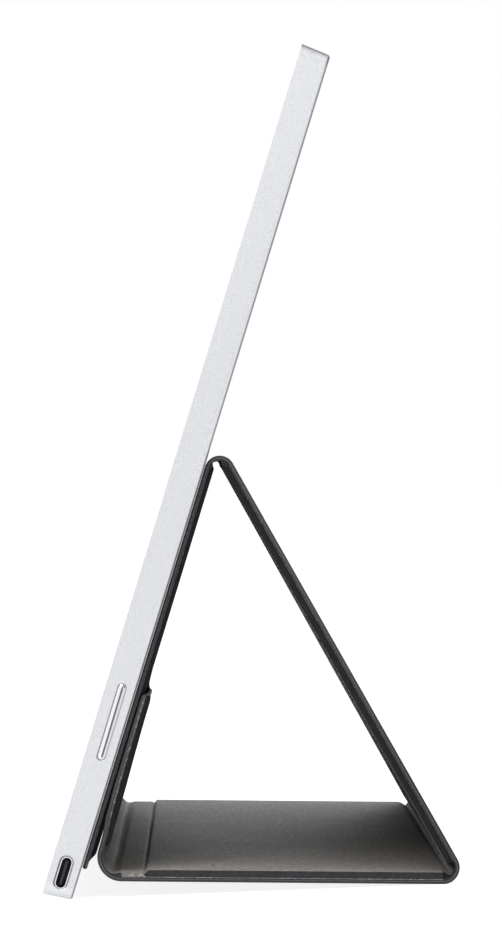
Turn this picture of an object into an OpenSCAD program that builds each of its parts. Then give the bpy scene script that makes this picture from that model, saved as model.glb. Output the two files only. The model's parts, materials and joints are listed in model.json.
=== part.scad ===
// Portable monitor that leans back on a folded leather cover.
// Sizes are in millimetres and degrees.
// X runs across the screen, the screen faces -Y and Z is up.
// The origin lies on the floor, in the middle of the part's footprint.
// The cover is one strip of leather over four stiff panels. Magnets hold its first panel to the
// back of the monitor. The strip then folds down, along the floor and up again into a triangle.

/* [Monitor body] */
// Width of the monitor across the screen
body_w = 360; // [340:1:400]
// Height of the monitor along the screen
body_h = 240; // [230:1:260]
// Thickness of the monitor
body_t = 8.3; // [8.2:0.1:9.5]
// Radius of the four corners, seen from the front
corner_r = 4; // [3.5:0.5:8]
// Radius of the edge round the back
edge_r = 0.9; // [0.5:0.1:1.2]
// How far each side face leans in from front to back
edge_draft = 0.8; // [0.4:0.1:1.2]
// Wall of the shell at its sides
side_wall = 1.2; // [1:0.1:1.4]
// Wall of the shell at its back
back_wall = 1; // [0.8:0.1:1.1]
// Lean of the screen from upright
screen_tilt = 19.3; // [16:0.1:22]

/* [Screen] */
// Frame beside the picture, left and right
side_border = 7.6; // [7:0.1:10]
// Frame above the picture
top_border = 8; // [7:0.1:10]
// Frame below the picture
bottom_border = 16.6; // [16.4:0.1:20]
// Thickness of the front frame
bezel_t = 1; // [0.8:0.1:1.1]
// Depth of the front frame below the rim of the shell
bezel_recess = 0.15; // [0.1:0.05:0.3]
// Gap between the front frame and the rim of the shell
bezel_gap = 0.15; // [0.1:0.05:0.3]
// Thickness of the tape behind the front frame
tape_t = 0.15; // [0.1:0.05:0.2]
// Thickness of each of the two glass sheets
glass_t = 0.45; // [0.3:0.05:0.5]
// Blind edge of the glass round the picture
glass_border = 2.2; // [1.8:0.1:2.4]
// Thickness of the stack of optical sheets
sheets_t = 0.45; // [0.3:0.05:0.5]
// Thickness of the light guide
guide_t = 0.6; // [0.4:0.05:0.7]
// Thickness of the reflector
reflector_t = 0.15; // [0.1:0.05:0.2]
// Thickness of the metal tray behind the reflector
tray_t = 0.3; // [0.2:0.05:0.35]
// Number of lamps on the strip below the light guide
led_count = 56; // [40:1:70]
// Number of flexible films between the glass and its board
film_count = 6; // [4:1:8]

/* [Ports and key] */
// Height of the port's centre above the bottom edge
port_up = 7.3; // [7:0.1:7.6]
// Depth of the port's centre behind the screen face
port_in = 4; // [3.8:0.1:4.1]
// Height of the rocker key's centre above the bottom edge
key_up = 49.9; // [46:0.1:54]
// Depth of the rocker key's centre behind the screen face
key_in = 4.5; // [4.3:0.1:4.6]
// Length of the rocker key
key_len = 21.1; // [18:0.1:23]
// Width of the rocker key
key_w = 1.9; // [1.6:0.1:2.1]
// Gap round the rocker key in its slot
key_gap = 0.2; // [0.15:0.05:0.3]
// How far the rocker key stands out of the side
key_proud = 0.2; // [0.1:0.05:0.4]
// Swing of the rocker key each way
key_swing = 2; // [1.5:0.1:2]
// Crown of the rocker key's face across its width
key_crown = 0.25; // [0.1:0.05:0.3]
// Chamfer round the mouth of each port
port_chamfer = 0.3; // [0.2:0.05:0.4]
// Chamfer round the rocker key's slot
slot_chamfer = 0.15; // [0.1:0.05:0.2]

/* [Boards] */
// Thickness of the circuit boards
board_t = 0.8; // [0.6:0.1:0.8]
// Width of the main board
main_w = 58; // [54:1:62]
// Height of the main board
main_h = 66; // [64:1:74]
// Width of the small board at the other side
side_board_w = 36; // [30:1:44]
// Height of the small board at the other side
side_board_h = 30; // [26:1:36]
// Length of the magnets
magnet_len = 25; // [18:1:28]
// Width of the magnets
magnet_w = 6; // [5:0.5:7]

/* [Cover] */
// Distance from each side of the monitor to the cover's edge
cover_inset = 3; // [1:0.5:8]
// Height of the cover's lower edge above the monitor's bottom edge
mount_up = 10.5; // [8:0.1:12]
// Length of the panel on the monitor's back, up to the top fold
mount_len = 112.7; // [106:0.1:118]
// Slope of the second panel from upright
strut_slope = 27.3; // [24:0.1:33]
// Length of the flap that stands on the front fold
flap_len = 45.6; // [36:0.1:60]
// Rise of the floor panel from the rear fold to the front fold, in degrees
floor_rise = 2.8; // [2:0.1:4]
// Thickness of the smooth liner
liner_t = 0.62; // [0.5:0.02:0.8]
// Thickness of the leather
leather_t = 0.68; // [0.5:0.02:0.8]
// Thickness of the stiff boards of the strut and floor panels
stiff_t = 1.8; // [1.6:0.1:2.2]
// Thickness of the stiff boards of the mount panel and the flap
thin_t = 1.2; // [1:0.1:1.4]
// Outside radius of the top fold
top_fold_r = 4.1; // [3.8:0.1:5]
// Outside radius of the rear fold
rear_fold_r = 4.5; // [4.2:0.1:6]
// Outside radius of the front fold
front_fold_r = 6.6; // [5:0.1:8]

/* [Cover edges] */
// Bare lip of leather and liner below the mount panel's board
mount_lip = 2.6; // [1.5:0.1:4]
// Bare lip of leather and liner above the flap's board
flap_lip = 0.5; // [0.3:0.1:2]
// Length over which the leather slopes down from a board to a free lip
lip_slope = 2; // [1:0.1:3]
// Soft stretch of the floor panel before the front fold
soft_len = 6.9; // [4:0.1:10]
// Distance from a fold to the raised leather beside it
fold_margin = 0.8; // [0.6:0.1:2]
// Distance from the cover's side edge to its boards
side_margin = 1.9; // [1.8:0.1:3]
// Width of the leather's slope beside a board
side_slope = 0.5; // [0.3:0.1:0.6]
// Rounding of the leather where it turns over a board
leather_round = 0.5; // [0.3:0.1:0.6]
// Corner radius of the boards
board_r = 3; // [2:0.5:6]
// Corner radius of the cover's four outer corners
cover_r = 4; // [2:0.5:8]
// Gap between the monitor's back and the cover
seat_gap = 0.1; // [0.05:0.05:0.2]
// Gap between the flap and the mount panel that it rests on
flap_gap = 0.25; // [0.2:0.05:0.5]

/* [Hidden] */
$fn = 48;
// Facets of a full circle where shapes are hulled
hull_fn = 32;
// Facets of the large circle of which the rocker key's crown is a part
crown_fn = 96;
// Overshoot of cuts past the faces that they open
cut = 1;
// Overlap of shapes that are joined into one
seam = 0.01;

silver = [0.90, 0.90, 0.91];
black_plastic = [0.06, 0.06, 0.065];
board_green = [0.05, 0.22, 0.14];
leather_grey = [0.36, 0.345, 0.34];
liner_grey = [0.25, 0.25, 0.255];
steel = [0.72, 0.72, 0.73];

function dir(a) = [cos(a), sin(a)];

// The monitor's own frame lies flat: Y runs up the screen, Z from the back (0) to the screen face.
draft_angle = atan(edge_draft / body_t);
// Inset of the side faces at a height above the back
function face_inset(z) = (body_t - z) * tan(draft_angle);
// Inset of the cavity's walls at a height above the back
function wall_inset(z) = side_wall + face_inset(z);
// Distance of the back edge's centre line from the outline
edge_in = face_inset(edge_r) + edge_r / cos(draft_angle);

// The monitor stands on its rounded back edge
foot = [body_t * cos(screen_tilt), edge_r - edge_in * cos(screen_tilt) - edge_r * sin(screen_tilt)];
up_heading = 90 - screen_tilt;
function body_point(y, z) = foot + y * dir(up_heading) + z * dir(up_heading + 90);

// Heights of the screen's layers above the back
bezel_back = body_t - bezel_recess - bezel_t;
glass_front = bezel_back - tape_t;
glass_back = glass_front - 2 * glass_t;
sheets_back = glass_back - sheets_t;
guide_back = sheets_back - guide_t;
reflector_back = guide_back - reflector_t;
tray_back = reflector_back - tray_t;

// Outline of the picture
picture_w = body_w - 2 * side_border;
picture_y0 = bottom_border;
picture_y1 = body_h - top_border;

// Outlines of the screen's layers
glass_below = 3.6;
glass_w = picture_w + 2 * glass_border;
glass_y0 = picture_y0 - glass_below;
glass_y1 = picture_y1 + glass_border;
// Ledge of the rear glass that the front glass leaves free for the films
glass_ledge = 1.5;
tray_margin = 0.45;
tray_w = glass_w + 2 * tray_margin;
tray_y0 = glass_y0 - tray_margin;
tray_y1 = glass_y1 + tray_margin;
layer_gap = 0.05;
guide_over = 0.8;
guide_below = 0.5;
guide_w = picture_w + 2 * guide_over;
guide_y0 = picture_y0 - guide_below;
guide_y1 = picture_y1 + guide_over;

// Strip of lamps below the light guide
led_gap = 0.1;
led_h = 1;
led_t = 0.5;
led_end = 4;
strip_w = 2;
strip_t = 0.1;
led_y1 = guide_y0 - led_gap;
led_y0 = led_y1 - strip_w;
led_pitch = (picture_w - 2 * led_end) / led_count;
led_half = led_pitch * 0.3;

// Driver films that turn round the tray's lower edge
film_t = 0.1;
film_w = 24;
film_gap = 0.1;
film_lap = 1.7;
film_reach = 1.5;
film_top = glass_front - glass_t + film_t;
timing_gap = 0.1;
timing_t = 0.55;
timing_h = 10;
timing_front = tray_back - timing_gap;
timing_back = timing_front - timing_t;
film_bottom = timing_back - film_t;
film_r = (film_top - film_bottom) / 2;
film_y = tray_y0 - film_gap;
timing_y0 = film_y + film_reach;

// Port, in the monitor's own frame
usb_w = 8.94;
usb_h = 3.26;
usb_wall = 0.3;
usb_len = 7.35;
usb_gap = 0.12;
usb_set_back = 0.3;
port_z = body_t - port_in;
port_x = body_w / 2 - face_inset(port_z) - usb_set_back;
tongue_w = 6.7;
tongue_h = 0.7;
tongue_len = 4.6;
tongue_base = 1.6;
// Depth of the shell's slot behind the port's mouth
port_slot = 4;

// Circuit boards lie under the port, on bosses of the shell
board_top = port_z - usb_h / 2;
board_back = board_top - board_t;
board_edge = 3.6;
board_y0 = 2.4;
main_x1 = body_w / 2 - board_edge;
main_x0 = main_x1 - main_w;
side_x1 = -main_x1 + side_board_w;

// Timing board ends a little short of the main board, and the films share its width
timing_short = 4.4;
timing_end = 6;
timing_w = 2 * (main_x0 - timing_short);
film_pitch = (timing_w - 2 * timing_end) / film_count;
timing_chip_xs = [-60, -30, 20, 50];
timing_chip_w = 3;
timing_chip_t = 0.5;
timing_control_x = -10;
timing_control_w = 6;
timing_control_t = 0.7;

// Picture processor, its shield, and the coils of the supply
can_in = 9;
can_up = 22;
can_w = 26;
can_h = 24;
can_t = 0.15;
can_rise = 1.4;
can_x0 = main_x0 + can_in;
can_y0 = board_y0 + can_up;
processor_w = 12;
processor_t = 0.9;
coil_count = 4;
coil_in = 14;
coil_up = 7;
coil_pitch = 7;
coil_w = 4;
coil_t = 1.2;
side_chip_in = 16;
side_chip_up = 14;
side_chip_w = 4;
side_chip_t = 0.8;

// Screws
boss_r = 1.9;
screw_r = 0.6;
screw_gap = 0.05;
screw_head_r = 1.3;
screw_head_h = 0.5;
screw_floor = 0.5;
screw_tip_gap = 0.1;
screw_in = 3.5;
// Place of the screws that stand clear of the key and above the port
screw_key_in = 12;
screw_port_up = 18;
screw_spots = [
    [main_x0 + screw_in, board_y0 + screw_in],
    [main_x0 + screw_in, board_y0 + main_h - screw_in],
    [main_x1 - screw_key_in, board_y0 + screw_port_up],
    [main_x1 - screw_key_in, board_y0 + main_h - screw_in],
    [side_x1 - screw_in, board_y0 + screw_in],
    [-main_x1 + screw_in, board_y0 + side_board_h - screw_in]
];

// Ribbon cables
ribbon_t = 0.15;
plug_h = 0.9;
plug_w = 4;
plug_len = 8;
// Distances of a plug from its board's edge, and of the ribbon from the plug's top and ends
plug_in = 0.5;
ribbon_down = 0.25;
ribbon_in = 0.5;
ribbon_z = board_top + plug_h - ribbon_down;
timing_plug_h = 0.7;
timing_plug_in = 10;
timing_plug_x = timing_w / 2 - timing_plug_in;
display_up = 2.5;
display_y = timing_y0 + display_up;
link_up = 28;
link_side_up = 17;
link_y = board_y0 + link_up;
link_side_y = board_y0 + link_side_up;
link_run = 1.5;
link_bend = 3;
link_gap = 0.02;
insulator_t = 0.1;
insulator_in = 2;

// Rocker key, in the monitor's own frame
key_z = body_t - key_in;
key_face = body_w / 2 - face_inset(key_z) + key_proud;
key_wall_in = body_w / 2 - wall_inset(key_z);
// Flange behind the wall that keeps the key in
key_stop_t = 0.6;
key_stop_over = 0.55;
key_stop_len = key_len + 2 * key_stop_over + key_stop_t;
key_stop_w = key_w + 2 * key_stop_over;
key_free = 0.06;
key_stop_x = key_wall_in - (key_stop_len / 2) * sin(key_swing) - key_free;
pin_r = 0.45;
pin_gap = 0.05;
pin_reach = 1.35;
pin_x = key_stop_x - key_stop_t - pin_reach;
lug_t = 1.1;
lug_r = 1;
lug_free = 0.3;
ear_gap = 0.1;
ear_t = 0.65;
bracket_half = 3;
bracket_back = 3;
bracket_front = 0.85;
bracket_x0 = pin_x - bracket_back;
bracket_x1 = pin_x + bracket_front;
tray_free = 0.1;
switch_off = 7;
switch_w = 3.4;
switch_h = 1.5;
switch_len = 2.7;
switch_back = 0.7;
plunger_len = 0.5;
plunger_w = 1.6;
plunger_h = 0.7;
pad_w = 1.6;
pad_h = 1;
pad_gap = 0.08;
switch_x = pin_x - switch_back;
plunger_x = switch_x + plunger_len;
pad_x = plunger_x + switch_off * sin(key_swing) + pad_gap;

// Magnets inside the shell's back and in the mount panel
magnet_t = 1.2;
magnet_xs = [-100, -40, 40, 100];
magnet_ys = [44, 104];
magnet_gap = 0.1;

// Posts of the shell that carry the tray
post_r = 2;
post_xs = [-150, -75, 0, 75, 150];
post_ys = [80, 140, 200];
post_root = 0.2;

// Hooks of the shell under the front frame's skirt
skirt_t = 0.8;
skirt_h = 1;
hook_len = 10;
hook_h = 0.8;
hook_in = 1.1;
hook_root = 0.5;
hook_xs = [-140, -70, 0, 70, 140];
side_hook_ys = [90, 150, 210];
hook_top = bezel_back - skirt_h;

// Cover: each panel starts at a point of its outer line and runs along a heading.
// Material lies on the right of the heading, which is the inside of the triangle.
cover_w = body_w - 2 * cover_inset;
skin_t = liner_t + leather_t;
thin_panel_t = skin_t + thin_t;
// Gap between a fold strip and the panel that turns away from it
fold_gap = 0.1;

mount_start = body_point(mount_up, -seat_gap);
mount_end = mount_start + mount_len * dir(up_heading);
top_centre = mount_end + top_fold_r * dir(up_heading - 90);

// The second panel slopes down until the rear fold touches the floor
strut_heading = strut_slope - 90;
strut_drop = top_centre.y - rear_fold_r - (rear_fold_r - top_fold_r) * cos(strut_heading);
strut_len = -strut_drop / sin(strut_heading);
strut_start = top_centre + top_fold_r * dir(strut_heading + 90);
strut_end = strut_start + strut_len * dir(strut_heading);
rear_centre = strut_end + rear_fold_r * dir(strut_heading - 90);

// The floor panel reaches from the rear fold to where the flap lies along the mount panel
floor_heading = -180 - floor_rise;
floor_start = rear_centre + rear_fold_r * dir(floor_heading + 90);
function off_back(p) = (p - foot) * dir(up_heading - 90);
front_centre_off = seat_gap + thin_panel_t + flap_gap + front_fold_r;
front_line = floor_start + front_fold_r * dir(floor_heading - 90);
floor_len = (front_centre_off - off_back(front_line)) / (dir(floor_heading) * dir(up_heading - 90));
floor_end = floor_start + floor_len * dir(floor_heading);
front_centre = floor_end + front_fold_r * dir(floor_heading - 90);

flap_heading = up_heading - 360;
flap_start = front_centre + front_fold_r * dir(flap_heading + 90);

top_turn = up_heading - strut_heading;
rear_turn = strut_heading - floor_heading;
front_turn = floor_heading - flap_heading;

// Where the boards start and end along their panels
mount_b0 = mount_lip + lip_slope + leather_t;
mount_b1 = mount_len - fold_margin - side_slope - leather_t;
strut_b0 = fold_margin + side_slope + leather_t;
strut_b1 = strut_len - strut_b0;
floor_b0 = strut_b0;
floor_b1 = floor_len - soft_len - side_slope - leather_t;
flap_b0 = strut_b0;
flap_b1 = flap_len - flap_lip - lip_slope - leather_t;
board_w = cover_w - 2 * side_margin;

// Flap plates lie over the lower row of magnets
flap_up = (flap_start - foot) * dir(up_heading);
plate_y = magnet_ys[0] - flap_up;

// Middle of the footprint
depth_max = max(rear_centre.x + rear_fold_r, body_point(body_h, 0).x);
mid_y = depth_max / 2;

// Shared shapes

// Puts shapes of the monitor's own frame at the screen's lean
module in_monitor() {
    translate([0, foot.x - mid_y, foot.y]) rotate([up_heading, 0, 0]) children();
}

// Puts shapes of a panel's own frame on its line: Y along the line, Z into the panel
module on_line(start, heading) {
    translate([0, start.x - mid_y, start.y]) rotate([heading, 0, 0]) mirror([0, 0, 1]) children();
}

// Rectangle with round corners between two heights
module plate2d(w, y0, y1, r) {
    translate([-w / 2 + r, y0]) square([w - 2 * r, y1 - y0]);
    translate([-w / 2, y0 + r]) square([w, y1 - y0 - 2 * r]);
    for (x = [-w / 2 + r, w / 2 - r])
        for (y = [y0 + r, y1 - r])
            translate([x, y]) circle(r);
}

module plate(w, y0, y1, r, z0, z1) {
    translate([0, 0, z0]) linear_extrude(z1 - z0) plate2d(w, y0, y1, r);
}

module slab(x0, x1, y0, y1, z0, z1) {
    translate([x0, y0, z0]) cube([x1 - x0, y1 - y0, z1 - z0]);
}

// Box with square corners, centred across the monitor
module sheet(w, y0, y1, z0, z1) {
    slab(-w / 2, w / 2, y0, y1, z0, z1);
}

// Flat-sided round-ended bar that lies along X, long way up the screen
module stadium_x(x0, x1, y, z, len, w) {
    translate([x0, y, z]) rotate([90, 0, 90]) linear_extrude(x1 - x0) {
        square([len - w, w], center = true);
        for (s = [-1, 1]) translate([s * (len - w) / 2, 0]) circle(w / 2);
    }
}

// Round-ended bar along X with a face that is crowned across its width
module crowned_bar_x(x0, x1, y, z, len, w, crown) {
    crown_r = (w * w / 4 + crown * crown) / (2 * crown);
    translate([x0, y, z]) rotate([90, 0, 90]) {
        for (s = [-1, 1])
            translate([s * (len - w) / 2, 0, 0]) rotate_extrude() intersection() {
                square([w / 2, x1 - x0]);
                translate([0, x1 - x0 - crown_r]) circle(crown_r, $fn = crown_fn);
            }
        rotate([90, 0, 90]) linear_extrude(len - w, center = true) intersection() {
            translate([-w / 2, 0]) square([w, x1 - x0]);
            translate([0, x1 - x0 - crown_r]) circle(crown_r, $fn = crown_fn);
        }
    }
}

// Puts shapes on the monitor's side face: Z out of the face, Y up the screen
module on_side(y, z) {
    translate([body_w / 2 - face_inset(z), y, z]) rotate([0, 90 + draft_angle, 0]) children();
}

// Cutter that widens the mouth of a round-ended slot by a chamfer
module mouth_cutter(len, w, chamfer) {
    reach = chamfer + cut;
    for (s = [-1, 1])
        translate([0, s * (len - w) / 2, -chamfer]) cylinder(h = reach, r1 = w / 2, r2 = w / 2 + reach);
    rotate([90, 0, 0]) linear_extrude(len - w, center = true)
        polygon([
            [-w / 2, -chamfer], [w / 2, -chamfer], [w / 2 + reach, cut], [-w / 2 - reach, cut]
        ]);
}

// Draws a shape of the YZ plane and pulls it along X
module along_x(x0, x1) {
    translate([x0, 0, 0]) rotate([90, 0, 90]) linear_extrude(x1 - x0) children();
}

// Monitor shell and screen

// Corner of the shell's outer form, as rings from the screen face to the rounded back edge
edge_steps = 4;
module shell_corner() {
    translate([0, 0, edge_r * (1 - sin(draft_angle))])
        cylinder(h = body_t - edge_r * (1 - sin(draft_angle)), r2 = corner_r,
            r1 = corner_r - edge_in + edge_r * cos(draft_angle), $fn = hull_fn);
    for (k = [1:edge_steps]) {
        a = draft_angle + (90 - draft_angle) * (k - 1) / edge_steps;
        b = draft_angle + (90 - draft_angle) * k / edge_steps;
        translate([0, 0, edge_r * (1 - sin(b))])
            cylinder(h = edge_r * (sin(b) - sin(a)), r1 = corner_r - edge_in + edge_r * cos(b),
                r2 = corner_r - edge_in + edge_r * cos(a), $fn = hull_fn);
    }
}

module shell_outer() {
    hull()
        for (x = [-body_w / 2 + corner_r, body_w / 2 - corner_r])
            for (y = [corner_r, body_h - corner_r])
                translate([x, y, 0]) shell_corner();
}

module shell_cavity() {
    hull()
        for (x = [-body_w / 2 + corner_r, body_w / 2 - corner_r])
            for (y = [corner_r, body_h - corner_r])
                translate([x, y, back_wall])
                    cylinder(h = body_t + cut - back_wall, r1 = corner_r - wall_inset(back_wall),
                        r2 = corner_r - wall_inset(body_t + cut), $fn = hull_fn);
}

// Hooks stand out of the side walls, under the skirt of the front frame
module shell_hooks() {
    wall = wall_inset(hook_top);
    for (x = hook_xs, side = [0, 1]) {
        y = side == 0 ? wall - hook_root : body_h - wall - hook_in;
        slab(x - hook_len / 2, x + hook_len / 2, y, y + hook_in + hook_root, hook_top - hook_h, hook_top);
    }
    for (y = side_hook_ys, side = [0, 1])
        mirror([side, 0, 0])
            slab(body_w / 2 - wall - hook_in, body_w / 2 - wall + hook_root,
                y - hook_len / 2, y + hook_len / 2, hook_top - hook_h, hook_top);
}

module back_shell() {
    color(silver) in_monitor() difference() {
        union() {
            difference() {
                shell_outer();
                shell_cavity();
            }
            shell_hooks();
            for (x = post_xs, y = post_ys)
                translate([x, y, back_wall - post_root])
                    cylinder(h = tray_back - back_wall + post_root, r = post_r);
            for (p = screw_spots)
                translate([p.x, p.y, back_wall - post_root])
                    cylinder(h = board_back - back_wall + post_root, r = boss_r);
        }
        for (p = screw_spots)
            translate([p.x, p.y, screw_floor]) cylinder(h = board_back, r = screw_r + screw_gap);
        for (side = [0, 1])
            mirror([side, 0, 0]) {
                stadium_x(port_x - port_slot, body_w / 2 + cut, port_up, port_z,
                    usb_w + 2 * usb_gap, usb_h + 2 * usb_gap);
                on_side(port_up, port_z)
                    mouth_cutter(usb_w + 2 * usb_gap, usb_h + 2 * usb_gap, port_chamfer);
            }
        stadium_x(key_wall_in - cut, body_w / 2 + cut, key_up, key_z, key_len + 2 * key_gap,
            key_w + 2 * key_gap);
        on_side(key_up, key_z) mouth_cutter(key_len + 2 * key_gap, key_w + 2 * key_gap, slot_chamfer);
    }
}

bezel_in = wall_inset(bezel_back) + bezel_gap;
module front_bezel() {
    color(black_plastic) in_monitor() {
        difference() {
            plate(body_w - 2 * bezel_in, bezel_in, body_h - bezel_in, corner_r - bezel_in,
                bezel_back, body_t - bezel_recess);
            sheet(picture_w, picture_y0, picture_y1, bezel_back - cut, body_t + cut);
        }
        skirt_in = wall_inset(hook_top) + bezel_gap;
        difference() {
            plate(body_w - 2 * skirt_in, skirt_in, body_h - skirt_in, corner_r - skirt_in,
                hook_top, bezel_back);
            sheet(body_w - 2 * skirt_in - 2 * skirt_t, skirt_in + skirt_t, body_h - skirt_in - skirt_t,
                hook_top - cut, bezel_back + cut);
        }
    }
}

tape_in = 0.6;
tape_edge = 0.2;
module bezel_tape() {
    color("dimgray") in_monitor() difference() {
        sheet(glass_w - 2 * tape_edge, glass_y0 + glass_ledge + tape_edge, glass_y1 - tape_edge,
            glass_front, bezel_back);
        sheet(picture_w + 2 * tape_in, picture_y0 - tape_in, picture_y1 + tape_in,
            glass_front - cut, bezel_back + cut);
    }
}

// Two glass sheets. The rear one is longer at the bottom, for the films.
module lcd_cell() {
    color([0.03, 0.03, 0.035]) in_monitor() {
        sheet(glass_w, glass_y0, glass_y1, glass_back, glass_back + glass_t);
        sheet(glass_w, glass_y0 + glass_ledge, glass_y1, glass_back + glass_t, glass_front);
    }
}

module optical_sheets() {
    color("white") in_monitor() sheet(guide_w, guide_y0, guide_y1, sheets_back, glass_back);
}

module light_guide() {
    color("gainsboro") in_monitor() sheet(guide_w, guide_y0, guide_y1, guide_back, sheets_back);
}

module reflector_sheet() {
    color("white") in_monitor() sheet(guide_w, guide_y0, guide_y1, reflector_back, guide_back);
}

frame_out_w = tray_w - 2 * tray_t - 2 * layer_gap;
module panel_frame() {
    color("whitesmoke") in_monitor() difference() {
        sheet(frame_out_w, tray_y0 + tray_t + layer_gap, tray_y1 - tray_t - layer_gap,
            reflector_back, glass_back);
        sheet(guide_w + 2 * led_gap, led_y0 - led_gap, guide_y1 + led_gap,
            reflector_back - cut, glass_back + cut);
    }
}

module panel_tray() {
    color(steel) in_monitor() difference() {
        sheet(tray_w, tray_y0, tray_y1, tray_back, glass_back - layer_gap);
        sheet(tray_w - 2 * tray_t, tray_y0 + tray_t, tray_y1 - tray_t, reflector_back, body_t);
    }
}

// A flexible strip below the light guide, with a row of lamps that shine into its edge
module led_strip() {
    color("khaki") in_monitor() {
        sheet(guide_w, led_y0, led_y1, reflector_back, reflector_back + strip_t);
        for (k = [0:led_count - 1]) {
            x = (k - (led_count - 1) / 2) * led_pitch;
            slab(x - led_half, x + led_half, led_y1 - led_h, led_y1,
                reflector_back + strip_t, reflector_back + strip_t + led_t);
        }
    }
}

// Each film leaves the ledge of the rear glass and turns round the tray to the timing board
module driver_films() {
    color("darkgoldenrod") in_monitor()
        for (k = [0:film_count - 1]) {
            x = (k - (film_count - 1) / 2) * film_pitch;
            along_x(x - film_w / 2, x + film_w / 2) {
                translate([film_y, film_bottom + film_r]) intersection() {
                    difference() {
                        circle(film_r);
                        circle(film_r - film_t);
                    }
                    translate([-2 * film_r, -2 * film_r]) square([2 * film_r, 4 * film_r]);
                }
                translate([film_y, film_top - film_t]) square([film_lap, film_t]);
                translate([film_y, film_bottom]) square([film_reach + film_lap, film_t]);
            }
        }
}

// Circuit boards, ports and cables

// Square chip or coil on a board, between two heights
module chip(x, y, w, z0, z1) {
    slab(x - w / 2, x + w / 2, y - w / 2, y + w / 2, z0, z1);
}

// Socket of a ribbon cable, by its corner
module socket(x, y, z0, z1) {
    slab(x, x + plug_w, y, y + plug_len, z0, z1);
}

module timing_board() {
    chip_y = timing_y0 + timing_h / 2;
    color(board_green) in_monitor() {
        sheet(timing_w, timing_y0, timing_y0 + timing_h, timing_back, timing_front);
        chip(timing_control_x, chip_y, timing_control_w, timing_back - timing_control_t, timing_back);
        for (x = timing_chip_xs)
            chip(x, chip_y, timing_chip_w, timing_back - timing_chip_t, timing_back);
        socket(timing_plug_x, display_y, timing_back - timing_plug_h, timing_back);
    }
}

module main_board() {
    color(board_green) in_monitor() difference() {
        union() {
            slab(main_x0, main_x1, board_y0, board_y0 + main_h, board_back, board_top);
            chip(can_x0 + can_w / 2, can_y0 + can_h / 2, processor_w, board_top, board_top + processor_t);
            for (k = [0:coil_count - 1])
                chip(main_x0 + coil_in + coil_pitch * k, board_y0 + coil_up, coil_w, board_top,
                    board_top + coil_t);
            socket(main_x0 + plug_in, link_y, board_top, board_top + plug_h);
            socket(main_x0 + plug_in, display_y, board_top, board_top + plug_h);
        }
        // Notch for the key's bracket
        slab(bracket_x0 - lug_free, main_x1 + cut, key_up - bracket_half - lug_free,
            key_up + bracket_half + lug_free, board_back - cut, board_top + cut);
        screw_holes();
    }
}

module screw_holes() {
    for (p = screw_spots)
        translate([p.x, p.y, board_back - cut]) cylinder(h = board_t + 2 * cut, r = screw_r + screw_gap);
}

module shield_can() {
    color(steel) in_monitor() difference() {
        slab(can_x0, can_x0 + can_w, can_y0, can_y0 + can_h, board_top, board_top + can_rise);
        slab(can_x0 + can_t, can_x0 + can_w - can_t, can_y0 + can_t, can_y0 + can_h - can_t,
            board_top - cut, board_top + can_rise - can_t);
    }
}

module side_board() {
    color(board_green) in_monitor() difference() {
        union() {
            slab(-main_x1, side_x1, board_y0, board_y0 + side_board_h, board_back, board_top);
            socket(side_x1 - plug_in - plug_w, link_side_y, board_top, board_top + plug_h);
            chip(-main_x1 + side_chip_in, board_y0 + side_chip_up, side_chip_w, board_top,
                board_top + side_chip_t);
        }
        screw_holes();
    }
}

// Steel shell of a port, open at its mouth
module usb_shell(side) {
    color(steel) in_monitor() mirror([side < 0 ? 1 : 0, 0, 0]) difference() {
        stadium_x(port_x - usb_len, port_x, port_up, port_z, usb_w, usb_h);
        stadium_x(port_x - usb_len + usb_wall, port_x + cut, port_up, port_z,
            usb_w - 2 * usb_wall, usb_h - 2 * usb_wall);
    }
}

// Plastic base of a port, with the contact tongue standing out of it
module usb_tongue(side) {
    x0 = port_x - usb_len + usb_wall;
    color(black_plastic) in_monitor() mirror([side < 0 ? 1 : 0, 0, 0]) {
        stadium_x(x0, x0 + tongue_base, port_up, port_z, usb_w - 2 * usb_wall, usb_h - 2 * usb_wall);
        slab(x0 + tongue_base, x0 + tongue_base + tongue_len,
            port_up - tongue_w / 2, port_up + tongue_w / 2, port_z - tongue_h / 2, port_z + tongue_h / 2);
    }
}

// Ribbon from the main board to the timing board
module display_cable() {
    color("white") in_monitor()
        slab(timing_plug_x + plug_w, main_x0 + plug_in, display_y + ribbon_in,
            display_y + plug_len - ribbon_in, ribbon_z - ribbon_t, ribbon_z);
}

// One end of the long ribbon: from a plug down to the shell's back, towards X = 0
module link_end(x_plug, y, x_end) {
    side = sign(x_plug);
    top = ribbon_z - ribbon_t;
    low = back_wall + link_gap;
    x1 = x_plug - side * link_run;
    x2 = x1 - side * link_bend;
    shift = -side * ribbon_t;
    translate([0, y + plug_len - ribbon_in, 0]) rotate([90, 0, 0])
        linear_extrude(plug_len - 2 * ribbon_in)
            polygon([
                [x_plug, top], [x1, top], [x2, low], [x_end, low], [x_end, low + ribbon_t],
                [x2 + shift, low + ribbon_t], [x1 + shift, ribbon_z], [x_plug, ribbon_z]
            ]);
}

// Ribbon from the main board along the shell's back to the small board
module link_cable() {
    low = back_wall + link_gap;
    color("white") in_monitor() {
        link_end(side_x1 - plug_in, link_side_y, 0);
        slab(-plug_len, 0, link_side_y + ribbon_in, link_y + plug_len - ribbon_in, low, low + ribbon_t);
        link_end(main_x0 + plug_in, link_y, -plug_len);
    }
}

// Film stuck to the tray behind the main board
module board_insulator() {
    color("black") in_monitor()
        slab(main_x0 + insulator_in, tray_w / 2 - insulator_in, tray_y0 + insulator_in,
            board_y0 + main_h + insulator_in, tray_back - insulator_t, tray_back);
}

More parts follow.
